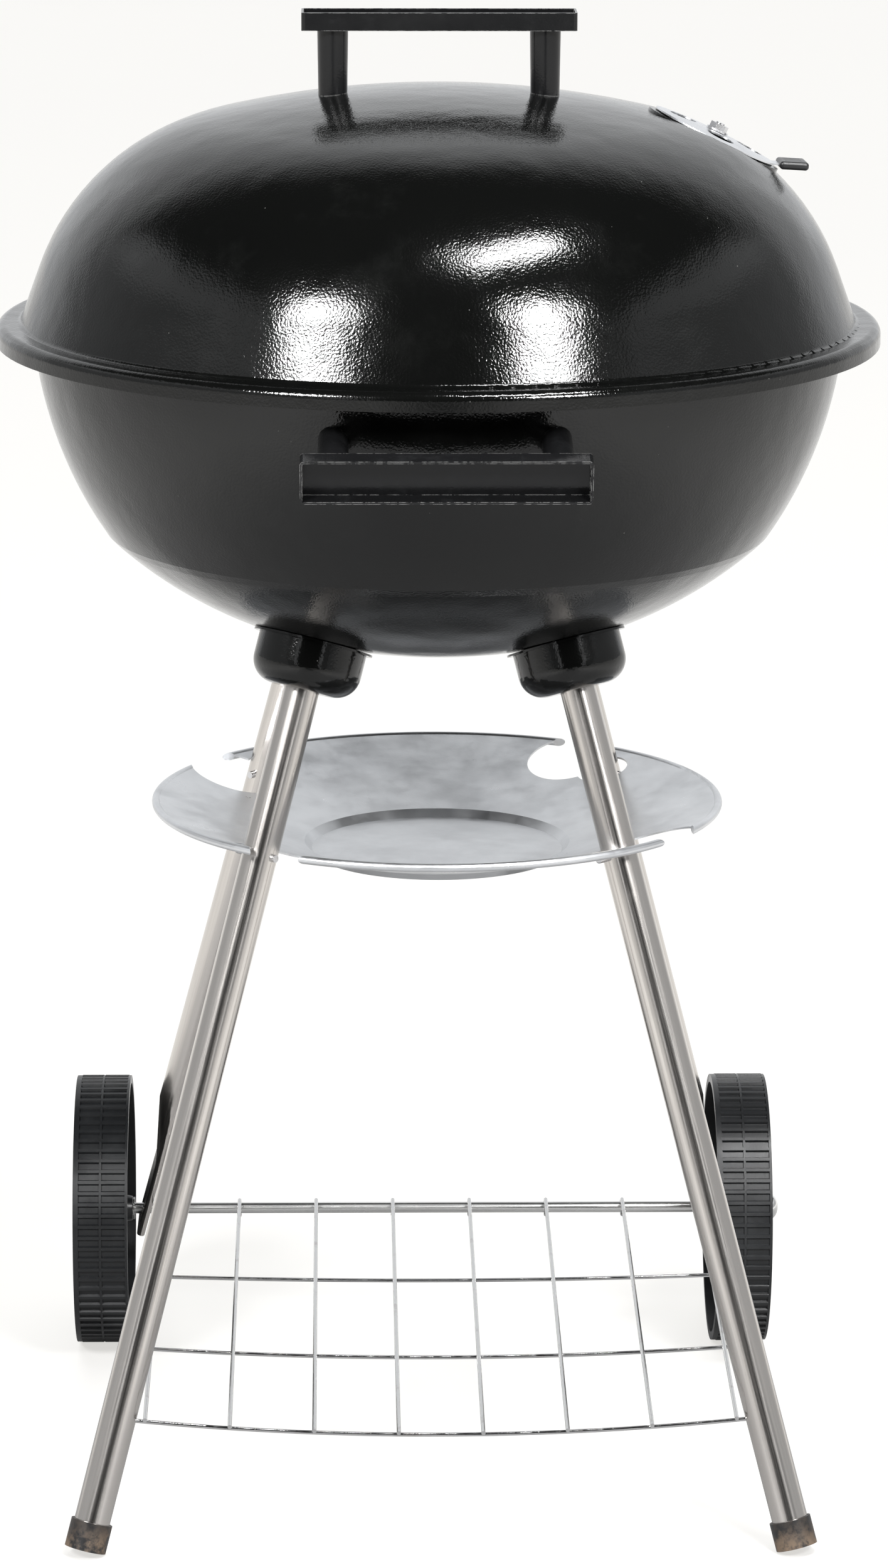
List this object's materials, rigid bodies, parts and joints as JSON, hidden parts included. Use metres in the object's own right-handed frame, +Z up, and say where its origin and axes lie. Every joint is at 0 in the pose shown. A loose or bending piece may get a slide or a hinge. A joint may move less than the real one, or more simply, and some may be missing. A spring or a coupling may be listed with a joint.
{
  "type": "kettle charcoal grill",
  "caption": "Round kettle charcoal grill with a domed lid, splayed tube legs, rear wheels, hanging ash tray and wire shelf.",
  "frame": {"origin": "on the floor, on the vertical axis of the bowl and lid", "axes": "+Z up along the axis of the bowl, +X to the right seen from the front, -Y towards the front handle"},
  "size_m": [0.4699, 0.4991, 0.7895],
  "materials": {
    "enamel": "glossy black porcelain enamel",
    "socket_enamel": "glossy black enamel",
    "handle_black": "semi-gloss black",
    "zinc_fasteners": "bright zinc plate",
    "damper_sheet": "bare satin sheet",
    "tab_plastic": "moulded black",
    "leg_steel": "bright drawn stainless tube",
    "foot_plastic": "moulded black",
    "wheel_plastic": "moulded black, slight sheen",
    "tray_zinc": "galvanised sheet",
    "shelf_chrome": "bright plated wire",
    "axle_zinc": "bright zinc plate",
    "cap_chrome": "polished",
    "grate_chrome": "bright plated wire"
  },
  "bodies": {
    "root": {"axle": "axle_zinc", "axle_cap_left": "cap_chrome", "axle_cap_right": "cap_chrome", "axle_washers": "axle_zinc", "bowl_damper_bolt": "zinc_fasteners", "bowl_damper_nut": "zinc_fasteners", "bowl_handle_bar": "handle_black", "bowl_handle_post_left": "handle_black", "bowl_handle_post_right": "handle_black", "bowl_handle_screws": "zinc_fasteners", "bowl_shell": "enamel", "foot_cap_left": "foot_plastic", "foot_cap_right": "foot_plastic", "grate_brackets": "enamel", "leg_bolts": "zinc_fasteners", "leg_front_left": "leg_steel", "leg_front_right": "leg_steel", "leg_inserts": "zinc_fasteners", "leg_rear_left": "leg_steel", "leg_rear_right": "leg_steel", "leg_socket_front_left": "socket_enamel", "leg_socket_front_right": "socket_enamel", "leg_socket_rear_left": "socket_enamel", "leg_socket_rear_right": "socket_enamel", "tray_pins": "zinc_fasteners", "wire_shelf": "shelf_chrome"},
    "lid": {"lid_shell": "enamel", "lid_handle_bar": "handle_black", "lid_handle_post_left": "handle_black", "lid_handle_post_right": "handle_black", "lid_handle_screws": "zinc_fasteners", "lid_damper_bolt": "zinc_fasteners", "lid_damper_nut": "zinc_fasteners"},
    "lid_damper": {"lid_damper_disc": "damper_sheet", "lid_damper_tab": "tab_plastic"},
    "bowl_damper": {"bowl_damper_disc": "damper_sheet", "bowl_damper_tab": "tab_plastic"},
    "ash_tray_body": {"ash_tray": "tray_zinc"},
    "left_wheel": {"wheel_left": "wheel_plastic"},
    "right_wheel": {"wheel_right": "wheel_plastic"},
    "cooking_grate_body": {"cooking_grate": "grate_chrome"},
    "charcoal_grate_body": {"charcoal_grate": "grate_chrome"}
  },
  "joints": [
    {"name": "lid_lift", "type": "slide", "parent": "root", "child": "lid", "axis": [0, 0, 1], "range_m": [0, 0.25]},
    {"name": "lid_damper_turn", "type": "hinge", "parent": "lid", "child": "lid_damper", "pos_m": [0.14772, 0.00903, 0.7251], "axis": [0.4328, 0.0265, 0.9011], "range_deg": [-35, 10]},
    {"name": "bowl_damper_turn", "type": "hinge", "parent": "root", "child": "bowl_damper", "pos_m": [0, 0, 0.451], "axis": [0, 0, -1], "range_deg": [-35, 10]},
    {"name": "ash_tray_turn", "type": "hinge", "parent": "root", "child": "ash_tray_body", "pos_m": [0, 0, 0.35], "axis": [0, 0, 1], "range_deg": [-10.5, 0]},
    {"name": "left_wheel_spin", "type": "hinge", "parent": "root", "child": "left_wheel", "pos_m": [-0.184, 0.16833, 0.0775], "axis": [1, 0, 0], "continuous": true},
    {"name": "right_wheel_spin", "type": "hinge", "parent": "root", "child": "right_wheel", "pos_m": [0.184, 0.16833, 0.0775], "axis": [1, 0, 0], "continuous": true},
    {"name": "cooking_grate_lift", "type": "slide", "parent": "root", "child": "cooking_grate_body", "axis": [0, 0, 1], "range_m": [0, 0.025]},
    {"name": "charcoal_grate_lift", "type": "slide", "parent": "root", "child": "charcoal_grate_body", "axis": [0, 0, 1], "range_m": [0, 0.05]}
  ]
}
